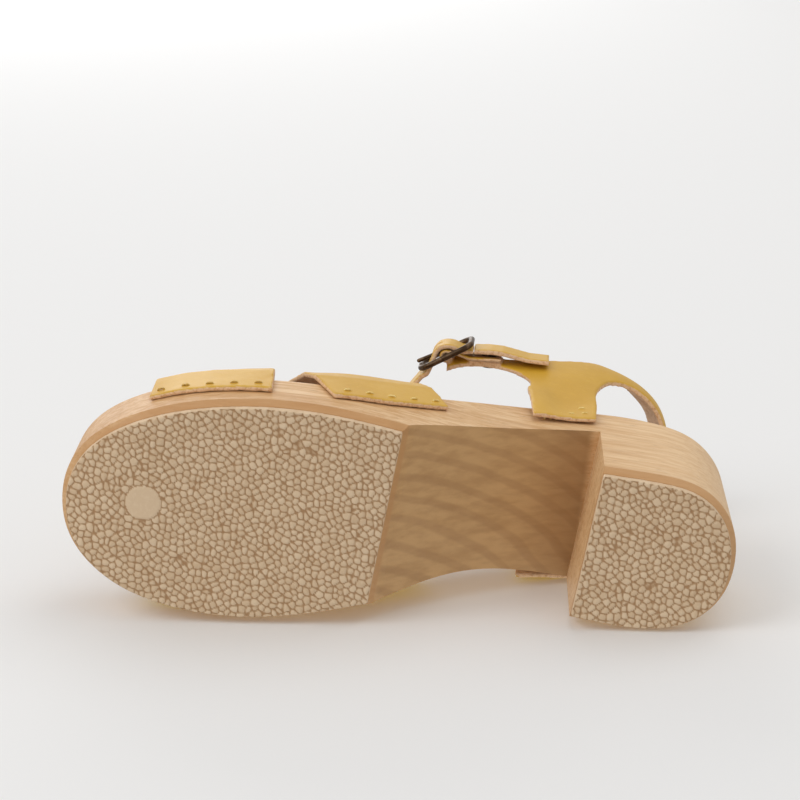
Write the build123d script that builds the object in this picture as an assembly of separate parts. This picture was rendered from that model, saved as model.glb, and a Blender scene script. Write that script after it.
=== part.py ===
from build123d import *
import os
from math import copysign, cos, floor, pi, radians, sin

# Left-foot wooden clog sandal. +Z is up, the toe points to -Y, the outer (lateral) side is +X.
# The origin is on the ground at the middle of the sole's plan. All sizes are in millimetres.

# wooden sole
sole_length = 254.6
ball_outer = 44.4          # widest point of the outer side, from the centre line
ball_inner = 43.8          # widest point of the inner side
waist_outer = 34.0
waist_inner = 24.8
heel_half_width = 31.0
toe_axis = -2.0            # x of the toe's foremost point
ball_outer_y = -40.0
ball_inner_y = -62.0
heel_centre_y = 94.0
forefoot_rim = 32.0        # height of the foot bed's edge at the ball
toe_rim = 40.0
heel_rim = 74.0
footbed_dish = 2.2         # how far the foot bed sinks between its edges
rim_radius = 3.2
edge_bevel = 2.2
breast_slant = 0.096       # the tread's rear edge and the heel's front lean back to the outer side
tread_rear = -5.5
breast_y = 71.0
waist_height = 47.0        # underside of the wood where it meets the heel
toe_spring = 5.5
spring_start = -92.0

# treads and heel sock
tread_thickness = 3.6
sock_thickness = 1.8
sock_margin = 6.0
sock_front = 57.0

# leather
leather = 2.1
leather_gap = 0.25         # air between two layers of leather, and between leather and wood

# buckle
bar_y = 13.0
bar_z = 108.0
bar_stand = 2.2            # from the quarter's face out to the bar's axis
strap_width = 16.0
frame_wire = 1.2           # radius
frame_length = 25.0
frame_corner = 4.5
frame_side_clearance = 1.0
bar_radius = 1.1
bar_clearance = 0.2
fold_thickness = 1.4
frame_tilt = 17.0
prong_radius = 0.8
tip_reach = 41.0           # from the bar to the free end of the ankle strap
tip_gap = 0.3              # between the strap and its free end, which lifts as a flap

# fasteners
staple_crown = 3.4
staple_wire = 0.8
staple_leg = 8.0
staples_per_end = 5
rivet_radius = 3.3
rivet_post = 1.6
rivet_dome = 0.9
rivet_reach = 17.0         # from the bar to the rivet
stitch_pitch = 2.6
stitch_length = 1.9
stitch_wire = 0.35


def superellipse(angle, half_x, half_y, power):
    c, s = cos(angle), sin(angle)
    return (half_x * copysign(abs(c) ** (2 / power), c), half_y * copysign(abs(s) ** (2 / power), s))


def sole_side(side):
    """Points of the wood's edge in plan, from the toe to the heel. side is 1 outer, -1 inner."""
    ball = ball_outer if side > 0 else ball_inner
    ball_y = ball_outer_y if side > 0 else ball_inner_y
    waist = waist_outer if side > 0 else waist_inner
    waist_y = 38.0 if side > 0 else 26.0
    toe_y = -sole_length / 2
    points = []
    for degrees in (25, 48, 68):
        across, along = superellipse(radians(90 - degrees), side * ball - toe_axis, ball_y - toe_y, 2.2)
        points.append((toe_axis + across, ball_y - along))
    points.append((side * ball, ball_y))
    points.append((side * (0.55 * ball + 0.45 * waist), 0.5 * (ball_y + waist_y) + 2))
    points.append((side * waist, waist_y))
    for degrees in (0, 32, 62):
        across, along = superellipse(radians(degrees), side * heel_half_width, sole_length / 2 - heel_centre_y, 2.2)
        points.append((across, heel_centre_y + along))
    return points


outline_points = [(toe_axis, -sole_length / 2), *sole_side(1), (0, sole_length / 2), *reversed(sole_side(-1))]
sole_edge = Spline(*outline_points, periodic=True)
sole_outline = make_face(sole_edge)


def between(stations, at):
    """Straight-line value at a place along a list of (place, value) pairs in rising order."""
    if at <= stations[0][0]:
        return stations[0][1]
    for (place_a, value_a), (place_b, value_b) in zip(stations, stations[1:]):
        if at <= place_b:
            return value_a + (value_b - value_a) * (at - place_a) / (place_b - place_a)
    return stations[-1][1]


edge_points = [sole_edge.position_at(step / 600) for step in range(600)]
wall_points = {side: sorted((point.Y, point.X) for point in edge_points if side * point.X > 4) for side in (1, -1)}


def wall(side, y):
    """x of the wood's side wall at a given y."""
    return between(wall_points[side], y)


# ---------------------------------------------------------------- wooden sole
rim_stations = [
    (-sole_length / 2 - 12, toe_rim + 2),
    (-sole_length / 2 + 20, toe_rim - 3),
    (-75, forefoot_rim + 1),
    (-38, forefoot_rim),
    (-5, forefoot_rim + 10),
    (15, heel_rim - 20),
    (36, heel_rim - 10),
    (60, heel_rim - 4),
    (90, heel_rim - 1),
    (sole_length / 2 + 12, heel_rim + 1),
]


def above_footbed(lift=0.0):
    """Everything above the foot bed, or above a surface a little higher than it."""
    sections = []
    for y, z in rim_stations:
        half = 60
        edge_z = z + 2 * footbed_dish + lift
        dish = ThreePointArc((-half, edge_z), (0, z - footbed_dish + lift), (half, edge_z))
        lid = Polyline((half, edge_z), (half, 130), (-half, 130), (-half, edge_z))
        sections.append(Plane(origin=(0, y, 0), x_dir=(1, 0, 0), z_dir=(0, -1, 0)) * make_face([dish, lid]))
    return loft(sections)


def along_breast(profile):
    """Extrude a Y-Z profile, drawn at the centre line, across the shoe along the slanted breast line."""
    reach = 70
    drawn = Plane(origin=(-reach, -reach * breast_slant, 0), x_dir=(0, 1, 0), z_dir=(1, 0, 0)) * profile
    return extrude(drawn, amount=2 * reach, dir=(1, breast_slant, 0))


centre_height = tread_thickness + (spring_start + sole_length / 2 + 8) ** 2 / (2 * toe_spring) + toe_spring / 2


def tread_curve(z):
    """Underside of the forefoot: flat, then curving up to the toe; z is its height on the flat."""
    bend = CenterArc((spring_start, centre_height), centre_height - z, -90, -22)
    flat = Line((spring_start, z), (tread_rear, z))
    return bend, flat


wood_bend, wood_flat = tread_curve(tread_thickness)
toe_end = wood_bend.position_at(1)
strip_top = (tread_rear + 4.5, tread_thickness + 5)
waist_curve = Spline(
    strip_top,
    (tread_rear + 15, waist_height - 30),
    (tread_rear + 45, waist_height - 11.5),
    (breast_y, waist_height),
)
wood_profile = make_face([
    wood_bend,
    wood_flat,
    Line((tread_rear, tread_thickness), strip_top),
    waist_curve,
    Polyline(
        (breast_y, waist_height),
        (breast_y, tread_thickness),
        (sole_length / 2 + 20, tread_thickness),
        (sole_length / 2 + 20, 120),
        (toe_end.X, 120),
        (toe_end.X, toe_end.Y),
    ),
])
wooden_sole = extrude(sole_outline, amount=120) & along_breast(wood_profile)
wooden_sole = wooden_sole - above_footbed()
low_edges = [
    edge for edge in wooden_sole.edges().filter_by(GeomType.BSPLINE)
    if edge.center().Z < tread_thickness + toe_spring and edge.length > 30
]
wooden_sole = chamfer(low_edges, edge_bevel)
footbed = wooden_sole.faces().filter_by(lambda face: face.normal_at().Z > 0.3).sort_by(SortBy.AREA)[-1]
wooden_sole = fillet(footbed.edges(), rim_radius)


# ---------------------------------------------------------------- treads and heel sock
def inset_outline(distance, count=48):
    """The sole's outline, a distance in from its edge."""
    points = []
    for step in range(count):
        tangent = sole_edge.tangent_at(step / count)
        points.append(sole_edge.position_at(step / count) + Vector(-tangent.Y, tangent.X) * distance)
    return make_face(Spline(*points, periodic=True))


tread_outline = inset_outline(edge_bevel)
low_bend, low_flat = tread_curve(0)
forefoot_profile = make_face([
    low_bend,
    low_flat,
    Line((tread_rear, 0), (tread_rear, tread_thickness)),
    wood_flat,
    wood_bend,
    Line(wood_bend.position_at(1), low_bend.position_at(1)),
])
forefoot_tread = extrude(tread_outline, amount=40) & along_breast(forefoot_profile)
heel_profile = make_face(Polyline(
    (breast_y, 0),
    (sole_length, 0),
    (sole_length, tread_thickness),
    (breast_y, tread_thickness),
    close=True,
))
heel_tread = extrude(tread_outline, amount=40) & along_breast(heel_profile)
sock_region = inset_outline(sock_margin) & (Pos(0, sock_front + 100) * Rectangle(200, 200))
heel_sock = (extrude(sock_region, amount=120) & above_footbed()) - above_footbed(sock_thickness)


# ---------------------------------------------------------------- helpers for leather
def slab(end_a, end_b, normal, thickness):
    """Flat four-cornered cut through a leather strip, from edge to edge."""
    half = normal.normalized() * (thickness / 2)
    return make_face(Polyline(end_a - half, end_b - half, end_b + half, end_a + half, close=True))


# ---------------------------------------------------------------- crossed front straps
crown_heights = [(-100, 56.5), (-88, 59.5), (-70, 66.2), (-55, 72.2), (-41, 75.8), (-28, 80.3), (-19, 83), (20, 92)]
strap_drop = 19.0          # how far the strap ends reach below the foot bed's edge
slit_width = 0.3           # the strap is slit from end to end, and each half is stapled
crown_lean = -9.0          # the arch leans to the inner side
weave = leather + leather_gap + 0.15


def arch(q, y, lift=0.0):
    """Middle of the leather over the toes: q runs from the outer base, 0, to the inner base, 1."""
    spacing = leather_gap + leather / 2 + lift
    outer = wall(1, y) + spacing
    inner = wall(-1, y) - spacing
    edge_z = between(rim_stations, y) + 3
    base_z = edge_z - 3 - strap_drop
    upright = 0.12
    if q < upright:
        return Vector(outer, y, base_z + (edge_z - base_z) * q / upright)
    if q > 1 - upright:
        return Vector(inner, y, base_z + (edge_z - base_z) * (1 - q) / upright)
    turn = pi * (q - upright) / (1 - 2 * upright)
    rise = between(crown_heights, y) + lift - edge_z
    across = (outer + inner) / 2 + (outer - inner) / 2 * cos(turn) + crown_lean * sin(turn) ** 2
    return Vector(across, y, edge_z + rise * sin(turn))


def arch_normal(q, y):
    step = 0.01
    along_q = arch(min(q + step, 1), y) - arch(max(q - step, 0), y)
    along_y = arch(q, y + 1) - arch(q, y - 1)
    return along_y.cross(along_q).normalized()


strap_stations = [0, 0.06, 0.12, 0.18, 0.24, 0.28, 0.32, 0.36, 0.4, 0.43, 0.5, 0.56, 0.62, 0.67, 0.72, 0.77,
                  0.8, 0.83, 0.88, 0.94, 1]


def strap_band(front_edge, rear_edge, front_lift, rear_lift):
    """Strip of leather over the arch between two edges, each a list of (q, y), with lifts as (q, mm)."""
    sections = []
    for q in strap_stations:
        front_y, rear_y = between(front_edge, q), between(rear_edge, q)
        normal = arch_normal(q, (front_y + rear_y) / 2)
        front, rear = arch(q, front_y), arch(q, rear_y)
        inside = []
        for share in (0, 0.25, 0.5, 0.75, 1):
            straight = front + (rear - front) * share
            bulge = (arch(q, front_y + (rear_y - front_y) * share) - straight).dot(normal)
            lift = (1 - share) * between(front_lift, q) + share * between(rear_lift, q)
            inside.append(straight + normal * (bulge + lift - leather / 2))
        outside = [point + normal * leather for point in reversed(inside)]
        sections.append(make_face(Polyline(*inside, *outside, close=True)))
    return loft(sections, ruled=True)


level = [(0, 0), (1, 0)]
threaded_front = [(0, -98), (0.14, -98), (0.34, -96), (0.5, -88), (0.62, -76), (0.75, -56), (0.88, -39), (1, -29)]
threaded_rear = [(0, -52), (0.28, -54), (0.4, -49.5), (0.5, -40), (0.62, -24), (0.76, 1), (0.88, 9), (1, 14.5)]
slit_front = [(0, -29), (0.1, -36), (0.2, -44), (0.28, -52.5), (0.45, -66), (0.62, -75), (0.8, -88), (1, -98)]
slit_rear = [(0, 14.5), (0.1, 9), (0.22, 1), (0.36, -10), (0.5, -18), (0.64, -22), (0.78, -31), (0.88, -42), (1, -52)]
slit_line = [(0, -8), (0.1, -14), (0.26, -36), (0.36, -46), (0.5, -49), (0.62, -52), (0.79, -60), (1, -75)]

front_strap_threaded = strap_band(threaded_front, threaded_rear, level, level)
dip = [(0.14, 0), (0.28, -weave), (0.72, -weave), (0.84, 0)]
slit_low = [(0.2, 0), (0.32, -0.6 * weave), (0.4, -weave), (0.73, -weave), (0.83, weave), (0.9, 0.6 * weave), (1, 0)]
slit_high = [(0.2, 0), (0.32, -0.6 * weave), (0.42, weave), (0.83, weave), (0.9, 0.6 * weave), (1, 0)]
rise_rear = [(0.2, 0), (0.42, weave), (0.88, weave), (0.96, 0)]
slit_front_lip = [(q, y - slit_width) for q, y in slit_line]
front_strap_slit = Compound([
    strap_band(slit_front, slit_front_lip, dip, slit_low),
    strap_band(slit_line, slit_rear, slit_high, rise_rear),
])


# ---------------------------------------------------------------- ankle leather
# Heights of the ankle's inner face, with its outer, inner, front and rear reach at each height.
cuff_heights = [
    (40, (34.6, -25.0, 6, 103)),
    (58, (34.6, -25.0, 6, 103)),
    (74, (34.9, -25.6, 5, 103)),
    (90, (35.4, -30.5, 2, 103)),
    (106, (36.6, -33.5, -2, 105)),
    (124, (35.6, -33.0, 4, 106)),
    (144, (32.5, -29.5, 10, 99)),
]
quadrant_power = {(1, -1): 4.5, (-1, -1): 2.3, (1, 1): 2.4, (-1, 1): 2.4}


def cuff(angle, z, spacing):
    """Point on the ankle at an angle seen from above (0 is +X) and a height, a distance outside its inner face."""
    reach = [between([(height, sizes[i]) for height, sizes in cuff_heights], z) for i in range(4)]
    outer, inner, front, rear = reach[0] + spacing, reach[1] - spacing, reach[2] - spacing, reach[3] + spacing
    centre_x, centre_y = (outer + inner) / 2, (front + rear) / 2
    side = 1 if cos(angle) >= 0 else -1
    end = 1 if sin(angle) >= 0 else -1
    x, y = superellipse(angle, (outer - inner) / 2, (rear - front) / 2, quadrant_power[(side, end)])
    x, y = centre_x + x, centre_y + y
    hug = between([(75, 1), (90, 0)], z) * between([(0.35, 0), (0.7, 1)], abs(cos(angle)))
    outside_wood = max(0.0, side * (wall(side, y) - x) + leather_gap + spacing)
    return Vector(x + side * hug * outside_wood, y, z)


def cuff_solid(spacing):
    sections = []
    for z, _ in cuff_heights:
        ring = Spline(*[cuff(radians(degrees), z, spacing) for degrees in range(0, 360, 20)], periodic=True)
        sections.append(make_face(ring))
    return loft(sections)


def cuff_layer(number):
    start = number * (leather + leather_gap)
    return cuff_solid(start + leather) - cuff_solid(start)


def side_cut(edges, from_x, to_x):
    """Solid with a Y-Z outline that reaches from one x to another."""
    drawn = Plane(origin=(from_x, 0, 0), x_dir=(0, 1, 0), z_dir=(1, 0, 0)) * make_face(edges)
    return extrude(drawn, amount=to_x - from_x)


inner_layer = cuff_layer(0)
outer_layer = cuff_layer(1)
loop_middle = 2.0
far = 90

outer_quarter_edge = [
    Polyline((73.5, 73), (72.5, 54), (47.5, 47.5), (45.5, 78)),
    Spline((45.5, 78), (41.5, 97), (33, 101.5), (bar_y, 100.0)),
    Polyline((bar_y, 100.0), (bar_y, 116)),
    Spline((bar_y, 116), (54, 114.5), (73, 126), (90, 136), (118, 141)),
    Polyline((118, 141), (118, 113)),
    Spline((118, 113), (100, 112), (83, 108), (75.5, 95), (73.5, 73)),
]
heel_strap_edge = [
    Polyline((118, 141), (118, 114)),
    Spline((118, 114), (102, 106), (92, 93), (84, 93)),
    Polyline((84, 93), (74, 108), (74, 113.5)),
    Spline((74, 113.5), (82, 115.5), (94, 123.5), (118, 141)),
]
quarter_region = side_cut(outer_quarter_edge, loop_middle, far) + side_cut(heel_strap_edge, -far, loop_middle)
lateral_quarter = inner_layer & quarter_region

medial_edge = [
    Polyline((72, 56), (48, 47.5), (49, 72)),
    Spline((49, 72), (46.5, 86), (37, 94), (20, 99.5), (-12, 101)),
    Polyline((-12, 101), (-12, 117.5)),
    Spline((-12, 117.5), (20, 117), (45, 113.5), (66, 111.5), (82, 116.5)),
    Polyline((82, 116.5), (95, 95), (90.5, 86.5)),
    Spline((90.5, 86.5), (80, 81), (74, 72), (72, 56)),
]
front_turn = 14.0          # x where the ankle strap leaves the loop for the buckle
front_edge = [Polyline((-12, 101), (-12, 117.5), (26, 117), (26, 98), (-12, 101))]
ankle_strap = outer_layer & side_cut(medial_edge, -far, 0)
ankle_strap += outer_layer & side_cut(front_edge, -1, front_turn)


# ---------------------------------------------------------------- buckle
def cuff_at(y, z, spacing, side=1):
    """Point on the outer (1) or inner (-1) half of the ankle at a given y and height."""
    low, high = -pi / 2, pi / 2
    for _ in range(40):
        middle = (low + high) / 2
        point = cuff(middle if side > 0 else pi - middle, z, spacing)
        if point.Y < y:
            low = middle
        else:
            high = middle
    return point


def cuff_normal(y, z, side=1):
    along_y = cuff_at(y + 0.5, z, 0, side) - cuff_at(y - 0.5, z, 0, side)
    along_z = cuff_at(y, z + 0.5, 0, side) - cuff_at(y, z - 0.5, 0, side)
    return along_y.cross(along_z).normalized() * side


# Local axes at the bar: X runs back along the strap, Y up along the bar, Z out from the ankle.
outward = cuff_normal(bar_y, bar_z)
backward = (cuff_at(bar_y + 0.5, bar_z, 0) - cuff_at(bar_y - 0.5, bar_z, 0)).normalized()
bar_centre = cuff_at(bar_y, bar_z, leather) + outward * bar_stand
buckle_plane = Plane(origin=bar_centre, x_dir=backward, z_dir=outward)
up_bar = buckle_plane.y_dir


def at_buckle(along, out, up=0.0):
    return bar_centre + backward * along + outward * out + up_bar * up


frame_height = strap_width + 2 * (frame_side_clearance + frame_wire)
frame_reach = frame_length / 2 - frame_wire
frame_path = RectangleRounded(2 * frame_reach, frame_height, frame_corner).wire()
path_start = frame_path.position_at(0)
wire_section = Plane(origin=path_start, z_dir=frame_path.tangent_at(0)) * Circle(frame_wire)
frame_ring = sweep(wire_section, path=frame_path)
bar = Rot(90, 0, 0) * Cylinder(bar_radius, frame_height)
buckle_frame = buckle_plane * Rot(0, -frame_tilt, 0) * (frame_ring + bar)

eye_width = 2.6
eye_bore = bar_radius + 0.08
eye = Rot(90, 0, 0) * (Cylinder(eye_bore + 0.9, eye_width) - Cylinder(eye_bore, eye_width))
frame_front = (-frame_reach * cos(radians(frame_tilt)), -frame_reach * sin(radians(frame_tilt)))
prong_rest = frame_wire + prong_radius + 0.12
prong_end = Vector(frame_front[0] - 0.9, 0, frame_front[1] + prong_rest)
prong_start = Vector(-0.6, 0, eye_bore + 0.35)
prong_run = prong_end - prong_start
tongue = Plane(origin=prong_start, z_dir=prong_run) * Cylinder(
    prong_radius, prong_run.length, align=(Align.CENTER, Align.CENTER, Align.MIN))
tongue += Pos(*prong_end) * Sphere(prong_radius)
prong = eye + (tongue - Rot(90, 0, 0) * Cylinder(eye_bore, eye_width))
buckle_prong = buckle_plane * prong

# the tab is folded outward round the bar and riveted to itself
fold_bore = bar_radius + bar_clearance
fold = Rot(90, 0, 0) * (Cylinder(fold_bore + fold_thickness, strap_width) - Cylinder(fold_bore, strap_width))
prong_slot = Pos(-2.2, 0, 0) * Box(9.6, eye_width + 0.8, 12)
tab_top = leather + leather_gap / 2 + fold_thickness
tab_sections = []
for along, out in ((0, fold_bore + fold_thickness / 2), (4, 0.6)):
    centre = at_buckle(along, out)
    tab_sections.append(slab(centre - up_bar * strap_width / 2, centre + up_bar * strap_width / 2,
                             at_buckle(along + 0.3 * out, out + 1) - centre, fold_thickness))
for y in (bar_y + 9, bar_y + rivet_reach, bar_y + rivet_reach + 5):
    centre = cuff_at(y, bar_z, tab_top - fold_thickness / 2)
    tab_sections.append(slab(centre - up_bar * strap_width / 2, centre + up_bar * strap_width / 2,
                             cuff_normal(y, bar_z), fold_thickness))
tab_end = loft(tab_sections, ruled=True)
bar_room = buckle_plane * Rot(90, 0, 0) * Cylinder(fold_bore, 2 * strap_width)
lateral_quarter += tab_end + buckle_plane * fold
lateral_quarter = lateral_quarter - buckle_plane * prong_slot - bar_room

rivet_y = bar_y + rivet_reach
rivet_plane = Plane(origin=cuff_at(rivet_y, bar_z, 0), z_dir=cuff_normal(rivet_y, bar_z))
head_seat = 0.2            # the tab is slightly curved under the flat rivet heads
from_base = (Align.CENTER, Align.CENTER, Align.MIN)
head = Cylinder(rivet_radius, rivet_dome, align=from_base)
head = fillet(head.edges().group_by(Axis.Z)[-1], rivet_dome * 0.7)
post = Pos(0, 0, -head_seat) * Cylinder(rivet_post, tab_top + 2 * head_seat + 0.3, align=from_base)
rivet_cap = rivet_plane * Pos(0, 0, tab_top + head_seat) * head
rivet_stud = rivet_plane * (post + Pos(0, 0, -head_seat) * Rot(180, 0, 0) * head)
lateral_quarter = lateral_quarter - rivet_plane * Pos(0, 0, -5) * Cylinder(
    rivet_post + 0.05, 20, align=(Align.CENTER, Align.CENTER, Align.MIN))

# the ankle strap leaves the loop, dives under the frame, over the bar and under the frame again
def strap_point(x, z):
    """Middle of the outer leather layer at the front of the loop, at a given x and height."""
    low, high = -pi / 2, 0
    for _ in range(40):
        middle = (low + high) / 2
        point = cuff(middle, z, 1.5 * leather + leather_gap)
        if point.X < x:
            low = middle
        else:
            high = middle
    return point


over_fold = fold_bore + fold_thickness + 0.3 + leather / 2
over_rivet = tab_top + rivet_dome + 0.6 + leather / 2
on_quarter = 1.5 * leather + leather_gap
front_lean = (strap_point(front_turn, bar_z + 8) - strap_point(front_turn, bar_z - 8)).normalized()
under_front = frame_wire + leather / 2 + 1.2
route = [
    (strap_point(front_turn - 4, bar_z), front_lean, 18.0),
    (strap_point(front_turn + 3, bar_z), front_lean, 17.6),
    (at_buckle(-frame_reach - 4.4, -frame_reach * 0.29 - under_front - 3.8), (front_lean + up_bar).normalized(), 17.0),
    (at_buckle(-frame_reach, -frame_reach * 0.29 - under_front), up_bar, strap_width),
    (at_buckle(-9.0, -6.1), up_bar, strap_width),
    (at_buckle(-6.4, -2.4), up_bar, strap_width),
    (at_buckle(-3.9, over_fold - 1.8), up_bar, strap_width),
    (at_buckle(-1.9, over_fold - 0.25), up_bar, strap_width),
    (at_buckle(0, over_fold), up_bar, strap_width),
    (at_buckle(1.9, over_fold - 0.2), up_bar, strap_width),
    (at_buckle(4, over_fold - 1.1), up_bar, strap_width),
    (at_buckle(7, 0.8), up_bar, strap_width),
    (at_buckle(frame_reach, 0.1), up_bar, strap_width),
    (cuff_at(rivet_y, bar_z, over_rivet), up_bar, strap_width),
    (cuff_at(rivet_y + 5, bar_z, over_rivet - 0.2), up_bar, strap_width),
    (cuff_at(bar_y + 0.8 * tip_reach, bar_z, on_quarter + 0.7), up_bar, strap_width),
    (cuff_at(bar_y + tip_reach, bar_z, on_quarter + 0.6), up_bar, strap_width),
]


def strap_slab(index):
    centre, lean, width = route[index]
    before, after = route[max(index - 1, 0)][0], route[min(index + 1, len(route) - 1)][0]
    normal = (after - before).cross(lean)
    return slab(centre - lean * width / 2, centre + lean * width / 2, normal, leather)


tip_from = 12
buckled = loft([strap_slab(index) for index in range(tip_from + 1)], ruled=True)
strap_tip = loft([strap_slab(index) for index in range(tip_from, len(route))], ruled=True)
strap_tip = Pos(*(backward * tip_gap)) * strap_tip
prong_hole = buckle_plane * Pos(-5.2, 0, 0) * Box(8.0, 2 * prong_radius + 1.4, 16)
ankle_strap += buckled
ankle_strap = ankle_strap - prong_hole


# ---------------------------------------------------------------- staples and stitches
def wire_loop(crown, wire, leg):
    """Round wire bent into a U: the crown lies along X at the top and the legs go down."""
    half = (crown - wire) / 2
    path = FilletPolyline((-half, 0, -leg), (-half, 0, 0), (half, 0, 0), (half, 0, -leg), radius=wire)
    return sweep(Pos(-half, 0, -leg) * Circle(wire / 2), path=path)


staple = wire_loop(staple_crown, staple_wire, staple_leg)
stitch = wire_loop(stitch_length, stitch_wire * 2, 2 * leather)


def staple_at(side, y, z, rise):
    """Staple through the leather into the wood's side; rise is the slope of its crown along y."""
    across = wall(side, y + 1) - wall(side, y - 1)
    out = Vector(2 * side, -side * across, 0).normalized()
    seat = Vector(wall(side, y), y, z) + out * (leather_gap + leather + 0.4 * staple_wire)
    return Plane(origin=seat, x_dir=(across, 2, 2 * rise), z_dir=out) * staple


def base_staples(side, front_y, rear_y):
    """Row of staples along the lower end of a front strap."""
    first, last = front_y + 4.5, rear_y - 5.5
    row = []
    for step in range(staples_per_end):
        y = first + (last - first) * step / (staples_per_end - 1)
        rise = (between(rim_stations, y + 1) - between(rim_stations, y - 1)) / 2
        row.append(staple_at(side, y, between(rim_stations, y) - strap_drop + 5, rise))
    return Compound(row)


quarter_places = [(53.5, 53), (58, 54.5), (62.5, 56.5), (68, 59.5), (54, 60.5), (67, 65.5)]
quarter_rise = 0.4


def seam_row(setback):
    """Stitches parallel to the inner quarter's rear edge, a distance in from it."""
    top, bottom = Vector(82, 116.5), Vector(95, 95)
    along = (bottom - top).normalized()
    inset = Vector(along.Y, -along.X) * setback
    run = (bottom - top).length - 5
    count = floor(run / stitch_pitch)
    row = []
    for step in range(count + 1):
        place = top + inset + along * (2.5 + run * step / count)
        row.append(stitch_at(place.X, place.Y, along))
    return row


def stitch_at(y, z, along):
    face = 2 * leather + leather_gap
    middle = cuff_at(y, z, face + 0.4 * stitch_wire, -1)
    ahead = cuff_at(y + along.X, z + along.Y, face + 0.4 * stitch_wire, -1)
    return Plane(origin=middle, x_dir=ahead - middle, z_dir=cuff_normal(y, z, -1)) * stitch


# ---------------------------------------------------------------- one file for each node
nodes = {
    "wooden_sole": wooden_sole,
    "forefoot_tread": forefoot_tread,
    "heel_tread": heel_tread,
    "heel_sock": heel_sock,
    "front_strap_threaded": front_strap_threaded,
    "front_strap_slit": front_strap_slit,
    "lateral_quarter": lateral_quarter,
    "ankle_strap": ankle_strap,
    "strap_tip": strap_tip,
    "buckle_frame": buckle_frame,
    "buckle_prong": buckle_prong,
    "rivet_cap": rivet_cap,
    "rivet_stud": rivet_stud,
    "staples_threaded_outer": base_staples(1, threaded_front[0][1], threaded_rear[0][1]),
    "staples_threaded_inner": base_staples(-1, threaded_front[-1][1], threaded_rear[-1][1]),
    "staples_slit_outer": base_staples(1, slit_front[0][1], slit_rear[0][1]),
    "staples_slit_inner": base_staples(-1, slit_front[-1][1], slit_rear[-1][1]),
    "staples_quarter_outer": Compound([staple_at(1, y, z, quarter_rise) for y, z in quarter_places]),
    "staples_quarter_inner": Compound([staple_at(-1, y, z, quarter_rise) for y, z in quarter_places]),
    "seam_stitches": Compound([*seam_row(2.5), *seam_row(6)]),
}
os.makedirs("parts", exist_ok=True)
for name, shape in nodes.items():
    export_step(shape, f"parts/{name}.step")
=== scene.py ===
import random
from math import cos, sin

import bmesh
import bpy
from mathutils import Matrix, Vector, kdtree
from mathutils.bvhtree import BVHTree


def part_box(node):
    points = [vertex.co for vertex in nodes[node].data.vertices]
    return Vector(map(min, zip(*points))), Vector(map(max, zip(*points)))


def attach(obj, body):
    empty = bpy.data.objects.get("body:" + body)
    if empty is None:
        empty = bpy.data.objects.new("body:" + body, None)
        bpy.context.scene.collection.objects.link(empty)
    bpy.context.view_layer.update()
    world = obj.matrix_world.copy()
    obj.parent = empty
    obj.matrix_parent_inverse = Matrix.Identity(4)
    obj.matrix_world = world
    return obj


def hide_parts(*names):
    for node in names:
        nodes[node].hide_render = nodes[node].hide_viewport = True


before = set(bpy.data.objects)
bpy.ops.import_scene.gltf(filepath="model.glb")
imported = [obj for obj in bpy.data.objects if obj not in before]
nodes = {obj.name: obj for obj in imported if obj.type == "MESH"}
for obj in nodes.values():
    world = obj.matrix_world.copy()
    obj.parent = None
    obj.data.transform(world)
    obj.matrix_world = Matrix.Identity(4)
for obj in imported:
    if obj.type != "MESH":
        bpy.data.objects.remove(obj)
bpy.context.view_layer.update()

print("frame loaded:", len(nodes), "nodes")


# colours and shader helpers
def tint(red, green, blue):
    linear = []
    for value in (red / 255, green / 255, blue / 255):
        linear.append(value / 12.92 if value < 0.04045 else ((value + 0.055) / 1.055) ** 2.4)
    return (*linear, 1.0)


class Wire:

    def __init__(self, tree, socket):
        self.tree = tree
        self.socket = socket

    def maths(self, operation, other, swapped=False):
        node = self.tree.nodes.new("ShaderNodeMath")
        node.operation = operation
        pair = (other, self) if swapped else (self, other)
        for index, value in enumerate(pair):
            if isinstance(value, Wire):
                self.tree.links.new(value.socket, node.inputs[index])
            else:
                node.inputs[index].default_value = value
        return Wire(self.tree, node.outputs[0])

    def __add__(self, other):
        return self.maths("ADD", other)

    def __rsub__(self, other):
        return self.maths("SUBTRACT", other, swapped=True)

    def __mul__(self, other):
        return self.maths("MULTIPLY", other)


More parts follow.
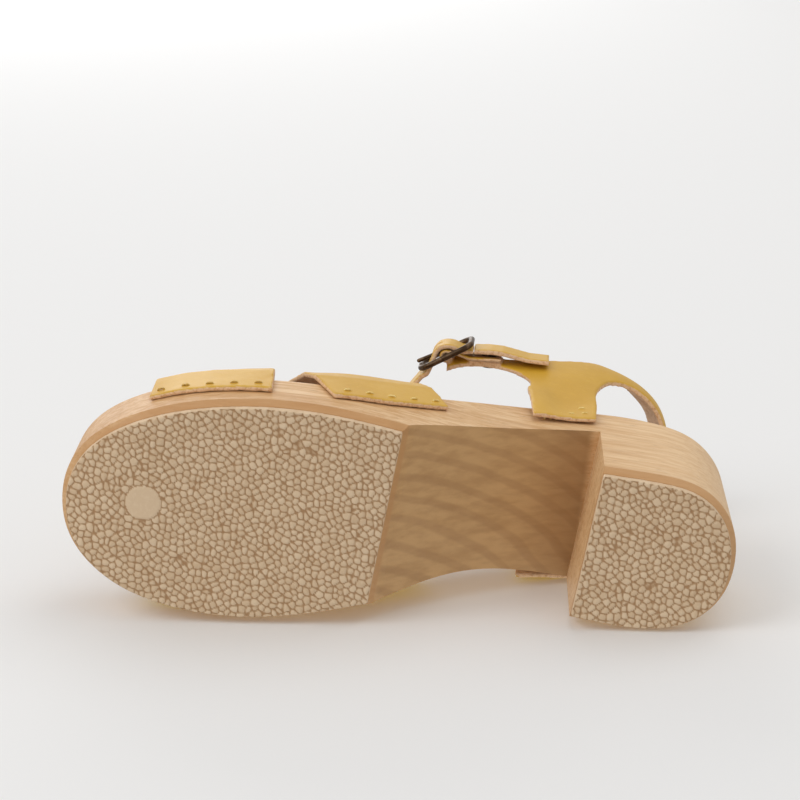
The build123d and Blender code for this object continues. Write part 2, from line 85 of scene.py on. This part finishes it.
class Finish:

    def __init__(self, name):
        self.material = bpy.data.materials.new(name)
        self.material.use_nodes = True
        self.tree = self.material.node_tree
        self.shader = self.tree.nodes["Principled BSDF"]

    def add(self, kind, settings=None, output=0, **sockets):
        node = self.tree.nodes.new("ShaderNode" + kind)
        for key, value in (settings or {}).items():
            if key == "stops":
                for index, (place, colour) in enumerate(value):
                    stops = node.color_ramp.elements
                    stop = stops[index] if index < 2 else stops.new(place)
                    stop.position = place
                    stop.color = colour
            else:
                setattr(node, key, value)
        for key, value in sockets.items():
            index = int(key[1:]) if key[0] == "i" and key[1:].isdigit() else key.replace("_", " ")
            self.feed(node.inputs[index], value)
        return Wire(self.tree, node.outputs[output])

    def feed(self, socket, value):
        if isinstance(value, Wire):
            self.tree.links.new(value.socket, socket)
        else:
            socket.default_value = value

    def place(self, scale=(1, 1, 1)):
        spot = self.add("TexCoord", output=3)
        return self.add("Mapping", Vector=spot, Scale=scale)

    def axis(self, which):
        spot = self.add("TexCoord", output=3)
        return self.add("SeparateXYZ", output=which, Vector=spot)

    def noise(self, scale, detail=3.0, stretch=(1, 1, 1), rough=0.55, twist=0.0):
        return self.add("TexNoise", Vector=self.place(stretch), Scale=scale, Detail=detail,
                        Roughness=rough, Distortion=twist)

    def step(self, value, low, high, outLow=0.0, outHigh=1.0):
        return self.add("MapRange", {"interpolation_type": "SMOOTHSTEP"}, Value=value,
                        From_Min=low, From_Max=high, To_Min=outLow, To_Max=outHigh)

    def blend(self, share, first, second):
        settings = {"data_type": "RGBA"}
        return self.add("Mix", settings, output=2, i0=share, i6=first, i7=second)

    def bump(self, height, strength, distance, under=None):
        extra = {"Normal": under} if under else {}
        return self.add("Bump", Height=height, Strength=strength, Distance=distance, **extra)

    def set(self, **values):
        for key, value in values.items():
            self.feed(self.shader.inputs[key.replace("_", " ")], value)
        return self.material


# leather of the upper: smooth face outside, suede inside, raw pale cut edges
leatherLook = {
    "face": tint(214, 166, 46), "faceDeep": tint(207, 158, 40), "faceLight": tint(220, 176, 60),
    "suede": tint(214, 186, 158), "suedeDeep": tint(190, 156, 126),
    "edge": tint(238, 203, 165), "edgeDeep": tint(206, 158, 112),
}


def upperLeather(name, look):
    m = Finish(name)
    edge = m.add("Attribute", {"attribute_name": "cutEdge"}, output=2)
    inside = m.add("Attribute", {"attribute_name": "fleshSide"}, output=2)
    cloud = m.noise(38.0, 3.0)
    fleck = m.noise(420.0, 2.0)
    fibre = m.noise(1500.0, 3.0, rough=0.7)
    nap = m.noise(330.0, 4.0, rough=0.7)
    face = m.blend(m.step(cloud, 0.35, 0.7), look["face"], look["faceDeep"])
    face = m.blend(m.step(fleck, 0.52, 0.75, 0.0, 0.35), face, look["faceLight"])
    suede = m.blend(m.step(nap, 0.35, 0.68), look["suede"], look["suedeDeep"])
    suede = m.blend(m.step(fibre, 0.5, 0.8, 0.0, 0.5), suede, look["edge"])
    cut = m.blend(m.step(m.noise(700.0, 4.0, rough=0.75), 0.42, 0.7), look["edge"], look["edgeDeep"])
    colour = m.blend(inside, face, suede)
    colour = m.blend(edge, colour, cut)
    soft = m.add("Math", {"operation": "MAXIMUM"}, i0=edge, i1=inside)
    rough = soft * 0.4 + m.step(cloud, 0.3, 0.7, 0.46, 0.54)
    pore = m.add("TexVoronoi", {"feature": "DISTANCE_TO_EDGE"}, Vector=m.place(), Scale=900.0)
    grain = m.bump(m.step(pore, 0.0, 0.25), 0.12, 0.0002)
    ripple = m.bump(m.noise(95.0, 2.0), 0.25, 0.0012, grain)
    fuzz = m.bump(fibre * soft, 0.55, 0.0005, ripple)
    return m.set(Base_Color=colour, Roughness=rough, Normal=fuzz, Coat_Weight=(1 - soft) * 0.04,
                 Coat_Roughness=0.4)


# where the wood changes, in mm along the sole and up from the ground
solePlaces = {
    "toeFrom": -40.0, "toeTo": -125.0, "heelFrom": 60.0, "heelTo": 110.0,
    "waistFront": (-9.0, -4.0), "waistRear": (73.0, 69.0), "waistShade": (40.0, 72.0),
    "bandTop": (6.6, 5.4),
}


def soleWood(name):
    m = Finish(name)
    at = solePlaces
    y = m.axis(1) * 1000
    z = m.axis(2) * 1000
    normalZ = m.add("SeparateXYZ", output=2, Vector=m.add("NewGeometry", output=1))
    streak = m.noise(60.0, 5.0, (9.0, 0.55, 9.0), 0.62, 0.4)
    figure = m.noise(16.0, 3.0, (4.0, 0.6, 5.0), 0.5, 1.2)
    pores = m.noise(150.0, 3.0, (9.0, 0.8, 9.0), 0.6)
    fine = m.noise(420.0, 2.0, (5.0, 0.7, 5.0))
    colour = m.blend(m.step(streak, 0.32, 0.68), tint(231, 194, 146), tint(207, 160, 106))
    colour = m.blend(m.step(figure, 0.4, 0.72, 0.0, 0.6), colour, tint(193, 143, 88))
    colour = m.blend(m.step(pores, 0.58, 0.72, 0.0, 0.55), colour, tint(158, 110, 66))
    colour = m.blend(m.step(fine, 0.5, 0.8, 0.0, 0.3), colour, tint(240, 210, 168))
    # darker end by the toe, paler at the heel
    colour = m.blend(m.step(y, at["toeFrom"], at["toeTo"], 0.0, 0.35), colour, tint(196, 146, 96))
    colour = m.blend(m.step(y, at["heelFrom"], at["heelTo"], 0.0, 0.45), colour, tint(240, 207, 163))
    # milled underside of the waist, with painted shade darkening its rear towards the heel breast
    under = m.step(normalZ, -0.25, -0.6) * m.step(y, *at["waistFront"]) * m.step(y, *at["waistRear"])
    swept = m.add("Mapping", Vector=m.add("TexCoord", output=3), Location=(0.09, 0.05, 0.0),
                  Scale=(1.0, 0.7, 0.2))
    arcs = m.add("TexWave", {"wave_type": "RINGS", "rings_direction": "Z"}, Vector=swept,
                 Scale=38.0, Distortion=2.6, Detail=2.0, Detail_Scale=0.8)
    blotch = m.noise(45.0, 4.0, (6.0, 1.0, 3.0))
    milledAndShade = m.blend(m.step(blotch, 0.35, 0.7), tint(206, 164, 112), tint(190, 148, 98))
    milledAndShade = m.blend(m.step(arcs, 0.55, 0.95, 0.0, 0.35), milledAndShade, tint(164, 122, 78))
    # painted shade: the rear of the waist underside is darkened towards the heel breast
    milledAndShade = m.blend(m.step(y, *at["waistShade"], 0.0, 0.45), milledAndShade, tint(136, 96, 58))
    colour = m.blend(under, colour, milledAndShade)
    # darker band low on the wood, around the treads that are glued inside it
    band = m.step(z, *at["bandTop"])
    colour = m.blend(band * 0.75, colour, tint(196, 146, 94))
    grainBump = m.bump(streak, 0.18, 0.0006)
    poreBump = m.bump(m.step(pores, 0.6, 0.7), 0.2, -0.0003, grainBump)
    millBump = m.bump(arcs * under, 0.25, 0.0007, poreBump)
    return m.set(Base_Color=colour, Roughness=m.step(streak, 0.3, 0.7, 0.5, 0.64), Normal=millBump,
                 Coat_Weight=(1 - under) * 0.06, Coat_Roughness=0.45)


def pebbledRubber(name):
    m = Finish(name)
    groove = m.add("Attribute", {"attribute_name": "groove"}, output=2)
    shade = m.add("Attribute", {"attribute_name": "pebbleTone"}, output=2)
    dust = m.noise(600.0, 4.0, rough=0.7)
    colour = m.blend(shade, tint(224, 197, 163), tint(211, 181, 145))
    colour = m.blend(m.step(dust, 0.45, 0.75, 0.0, 0.4), colour, tint(236, 214, 184))
    # painted shade: the grooves between the pebbles are darkened in colour
    colour = m.blend(m.step(groove, 0.25, 0.95, 0.0, 0.9), colour, tint(164, 124, 84))
    skin = m.bump(dust, 0.25, 0.0003)
    return m.set(Base_Color=colour, Roughness=m.step(groove, 0.0, 1.0, 0.68, 0.9), Normal=skin)


def bronze(name):
    m = Finish(name)
    worn = m.noise(260.0, 4.0, rough=0.7)
    colour = m.blend(m.step(worn, 0.45, 0.7), tint(74, 58, 44), tint(122, 100, 78))
    scratch = m.bump(m.noise(900.0, 2.0, (1.0, 6.0, 1.0)), 0.15, 0.0002)
    return m.set(Base_Color=colour, Metallic=1.0, Roughness=m.step(worn, 0.3, 0.7, 0.3, 0.48), Normal=scratch)


def stapleWire(name, light, dark):
    m = Finish(name)
    worn = m.noise(900.0, 3.0)
    colour = m.blend(m.step(worn, 0.4, 0.7), light, dark)
    return m.set(Base_Color=colour, Metallic=0.35, Roughness=m.step(worn, 0.3, 0.7, 0.35, 0.55),
                 Normal=m.bump(worn, 0.15, 0.0002))


def sewingThread(name):
    m = Finish(name)
    twist = m.add("TexWave", {"bands_direction": "DIAGONAL"}, Vector=m.place(), Scale=900.0, Distortion=0.6)
    colour = m.blend(m.step(twist, 0.3, 0.8), tint(238, 222, 182), tint(196, 166, 108))
    return m.set(Base_Color=colour, Roughness=0.75, Normal=m.bump(twist, 0.5, 0.0002))


# geometry helpers
def pickOnly(thing):
    bpy.ops.object.select_all(action="DESELECT")
    thing.select_set(True)
    bpy.context.view_layer.objects.active = thing


def looseCopy(name, nodeName):
    thing = nodes[nodeName].copy()
    thing.data = nodes[nodeName].data.copy()
    thing.parent = None
    thing.name = thing.data.name = name
    for key in list(thing.keys()):
        del thing[key]
    bpy.context.scene.collection.objects.link(thing)
    thing.data.materials.clear()
    mesh = bmesh.new()
    mesh.from_mesh(thing.data)
    bmesh.ops.remove_doubles(mesh, verts=mesh.verts, dist=1e-6)
    mesh.to_mesh(thing.data)
    mesh.free()
    return thing


def applied(thing, kind, **settings):
    pickOnly(thing)
    step = thing.modifiers.new(kind.title(), kind)
    for key, value in settings.items():
        setattr(step, key, value)
    bpy.ops.object.modifier_apply(modifier=step.name)


def pointValues(thing, name, values):
    layer = thing.data.attributes.new(name, "FLOAT", "POINT")
    layer.data.foreach_set("value", values)


def smoothAll(thing):
    thing.data.polygons.foreach_set("use_smooth", [True] * len(thing.data.polygons))
    thing.data.update()


hide = {"voxel": 0.00062, "tipVoxel": 0.0005, "sockVoxel": 0.0007, "passes": 5, "thickness": 0.0021,
        "skinDepth": 0.0003, "probe": 0.02}


def leatherPiece(name, nodeName, material, voxel, outward):
    thing = looseCopy(name, nodeName)
    applied(thing, "REMESH", mode="VOXEL", voxel_size=voxel, adaptivity=0.0)
    applied(thing, "SMOOTH", factor=0.5, iterations=hide["passes"])
    smoothAll(thing)
    tree = BVHTree.FromObject(thing, bpy.context.evaluated_depsgraph_get())
    edgeValues, insideValues = [], []
    for vertex in thing.data.vertices:
        start = vertex.co - vertex.normal * hide["skinDepth"]
        hit = tree.ray_cast(start, -vertex.normal, hide["probe"])
        through = (hit[3] or hide["probe"]) + hide["skinDepth"]
        beyond = (through - 1.25 * hide["thickness"]) / (0.5 * hide["thickness"])
        edgeValues.append(min(1.0, max(0.0, beyond)))
        insideValues.append(1.0 if vertex.normal.dot(outward(vertex.co)) < 0 else 0.0)
    pointValues(thing, "cutEdge", edgeValues)
    pointValues(thing, "fleshSide", insideValues)
    thing.data.materials.append(material)
    print(name, len(thing.data.polygons), "faces")
    return thing


mustard = upperLeather("mustardLeather", leatherLook)


def overFoot(point):
    return Vector((point.x + 0.003, -0.012, point.z - 0.032))


def aroundAnkle(point):
    return Vector((point.x - 0.002, (point.y - 0.052) * 0.75, 0.0))


for pieceName, nodeName, outward in (
    ("threadedStrap", "front_strap_threaded", overFoot),
    ("slitStrap", "front_strap_slit", overFoot),
    ("outerQuarter", "lateral_quarter", aroundAnkle),
    ("ankleStrap", "ankle_strap", aroundAnkle),
):
    piece = leatherPiece(pieceName, nodeName, mustard, hide["voxel"], outward)
    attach(piece, "clog")
    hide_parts(nodeName)
tip = leatherPiece("strapEnd", "strap_tip", mustard, hide["tipVoxel"], aroundAnkle)
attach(tip, "strap_tip")
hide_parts("strap_tip")

sockLook = dict(leatherLook, face=tint(229, 184, 112), faceDeep=tint(216, 164, 88),
                faceLight=tint(238, 202, 140))
sock = leatherPiece("heelSock", "heel_sock", upperLeather("sockLeather", sockLook),
                    hide["sockVoxel"], lambda point: Vector((0, 0, 1)))
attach(sock, "clog")
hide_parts("heel_sock")

# treads: pebbles and the grooves between them
pebbles = {"pitch": 0.00285, "rowShare": 0.87, "jitter": 0.36, "groove": 0.0006, "depth": 0.00042,
           "voxel": 0.00055}
disc = {"centre": Vector((0.0003, -0.0957)), "radius": 0.0066, "ringWidth": 0.0007, "ringDepth": 0.8,
        "tone": 0.3}


def pebbleTread(name, nodeName, material, seed):
    thing = looseCopy(name, nodeName)
    applied(thing, "REMESH", mode="VOXEL", voxel_size=pebbles["voxel"], adaptivity=0.0)
    applied(thing, "SMOOTH", factor=0.5, iterations=2)
    low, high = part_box(nodeName)
    dice = random.Random(seed)
    pitch = pebbles["pitch"]
    centres = []
    row = 0
    y = low.y - pitch
    while y < high.y + pitch:
        x = low.x - pitch + (row % 2) * pitch / 2
        while x < high.x + pitch:
            reach = pitch * pebbles["jitter"]
            across = x + dice.uniform(-reach, reach)
            along = y + dice.uniform(-reach, reach)
            centres.append(Vector((across, along, 0)))
            x += pitch
        y += pitch * pebbles["rowShare"]
        row += 1
    tree = kdtree.KDTree(len(centres))
    for index, centre in enumerate(centres):
        tree.insert(centre, index)
    tree.balance()
    tones = [dice.random() for _ in centres]
    grooves, shades = [], []
    for vertex in thing.data.vertices:
        flat = Vector((vertex.co.x, vertex.co.y, 0))
        (_, nearest, near), (_, _, far) = tree.find_n(flat, 2)
        cut = 1 - min(1.0, (far - near) / (2 * pebbles["groove"]))
        cut = cut * cut * (3 - 2 * cut)
        away = (flat.xy - disc["centre"]).length
        if away < disc["radius"]:
            cut = 0.0
        elif away < disc["radius"] + disc["ringWidth"]:
            cut = disc["ringDepth"]
        # only the face on the ground is cut
        if vertex.normal.z > -0.5:
            cut = 0.0
        grooves.append(cut)
        shades.append(tones[nearest] if away > disc["radius"] else disc["tone"])
    for vertex, cut in zip(thing.data.vertices, grooves):
        vertex.co.z += cut * pebbles["depth"]
    smoothAll(thing)
    pointValues(thing, "groove", grooves)
    pointValues(thing, "pebbleTone", shades)
    thing.data.materials.append(material)
    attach(thing, "clog")
    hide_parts(nodeName)
    print(name, len(thing.data.polygons), "faces,", len(centres), "pebbles")


rubber = pebbledRubber("pebbledRubber")
pebbleTread("forefootTread", "forefoot_tread", rubber, 4)
pebbleTread("heelTread", "heel_tread", rubber, 9)

# finishes of the carried-over pieces
darkBronze = bronze("darkBronze")
paleStaple = stapleWire("paleStaple", tint(240, 214, 140), tint(214, 176, 92))
# painted shade: the front strap's staples get a darker copy of the staple colour, standing in for the shade
# in their sunk slits
shadedFrontStaple = stapleWire("shadedFrontStaple", tint(206, 170, 92), tint(176, 138, 66))
creamThread = sewingThread("creamThread")
wood = soleWood("alderWood")
for nodeName, material in (
    ("wooden_sole", wood),
    ("buckle_frame", darkBronze), ("buckle_prong", darkBronze),
    ("rivet_cap", darkBronze), ("rivet_stud", darkBronze),
    ("staples_threaded_outer", shadedFrontStaple), ("staples_threaded_inner", shadedFrontStaple),
    ("staples_slit_outer", paleStaple), ("staples_slit_inner", paleStaple),
    ("staples_quarter_outer", paleStaple), ("staples_quarter_inner", paleStaple),
    ("seam_stitches", creamThread),
):
    nodes[nodeName].data.materials.clear()
    nodes[nodeName].data.materials.append(material)
print("finishes set")

# studio: one floor under the standing shoe and one that the shoe lies on, each seen from its own side only
studio = {"floorSize": 9.0, "lieTilt": 0.0925, "liePoint": Vector((-0.0447, -0.06, 0.03)), "white": 0.86}


def paper(name, normal, point):
    m = Finish(name + "Paper")
    m.set(Base_Color=(studio["white"],) * 3 + (1,), Roughness=0.95)
    m.shader.inputs["Specular IOR Level"].default_value = 0.1
    clear = m.add("BsdfTransparent")
    seen = m.add("LightPath") * (1 - m.add("NewGeometry", output=6))
    out = m.tree.nodes["Material Output"]
    mixed = m.add("MixShader", i0=seen, i1=clear, i2=Wire(m.tree, m.shader.outputs[0]))
    m.tree.links.new(mixed.socket, out.inputs[0])
    bpy.ops.mesh.primitive_plane_add(size=studio["floorSize"])
    sheet = bpy.context.object
    sheet.name = name
    sheet.rotation_mode = "QUATERNION"
    sheet.rotation_quaternion = normal.to_track_quat("Z", "Y")
    sheet.location = point
    sheet.data.materials.append(m.material)


lieNormal = Vector((cos(studio["lieTilt"]), -sin(studio["lieTilt"]), 0))
paper("standingFloor", Vector((0, 0, 1)), Vector((0, 0, -0.0002)))
paper("lyingFloor", lieNormal, studio["liePoint"])


def softbox(name, place, aim, size, power):
    lamp = bpy.data.lights.new(name, "AREA")
    lamp.shape = "DISK"
    lamp.size = size
    lamp.energy = power
    holder = bpy.data.objects.new(name, lamp)
    bpy.context.scene.collection.objects.link(holder)
    holder.location = place
    holder.rotation_mode = "QUATERNION"
    holder.rotation_quaternion = (Vector(aim) - Vector(place)).to_track_quat("-Z", "Y")


softbox("windowSide", (1.3, -1.5, -0.9), (0, 0, 0.05), 1.4, 13)
softbox("overhead", (1.7, 0.5, 0.6), (0, 0, 0.05), 1.6, 6)
softbox("standingTop", (0.5, -0.6, 1.9), (0, 0, 0.05), 1.4, 9)

world = bpy.data.worlds.new("studioWorld")
bpy.context.scene.world = world
world.use_nodes = True
world.node_tree.nodes["Background"].inputs["Color"].default_value = (1.0, 0.99, 0.975, 1)
world.node_tree.nodes["Background"].inputs["Strength"].default_value = 0.62
bpy.context.scene.view_settings.view_transform = "Standard"

# camera looking at the sole of the shoe as it lies on its inner side
shot = {"place": Vector((0.3389, -0.0007, -0.9118)), "right": Vector((0.0993, 0.9944, 0.0351)),
        "ahead": Vector((-0.3010, -0.0036, 0.9536)), "lens": 117.0}
camera = bpy.data.objects.new("camera", bpy.data.cameras.new("camera"))
bpy.context.scene.collection.objects.link(camera)
bpy.context.scene.camera = camera
back = -shot["ahead"].normalized()
right = (shot["right"] - back * shot["right"].dot(back)).normalized()
up = back.cross(right)
camera.matrix_world = Matrix((
    (right.x, up.x, back.x, shot["place"].x),
    (right.y, up.y, back.y, shot["place"].y),
    (right.z, up.z, back.z, shot["place"].z),
    (0, 0, 0, 1),
))
camera.data.lens = shot["lens"]
camera.data.sensor_width = 36.0
camera.data.clip_start = 0.05
camera.data.clip_end = 50.0
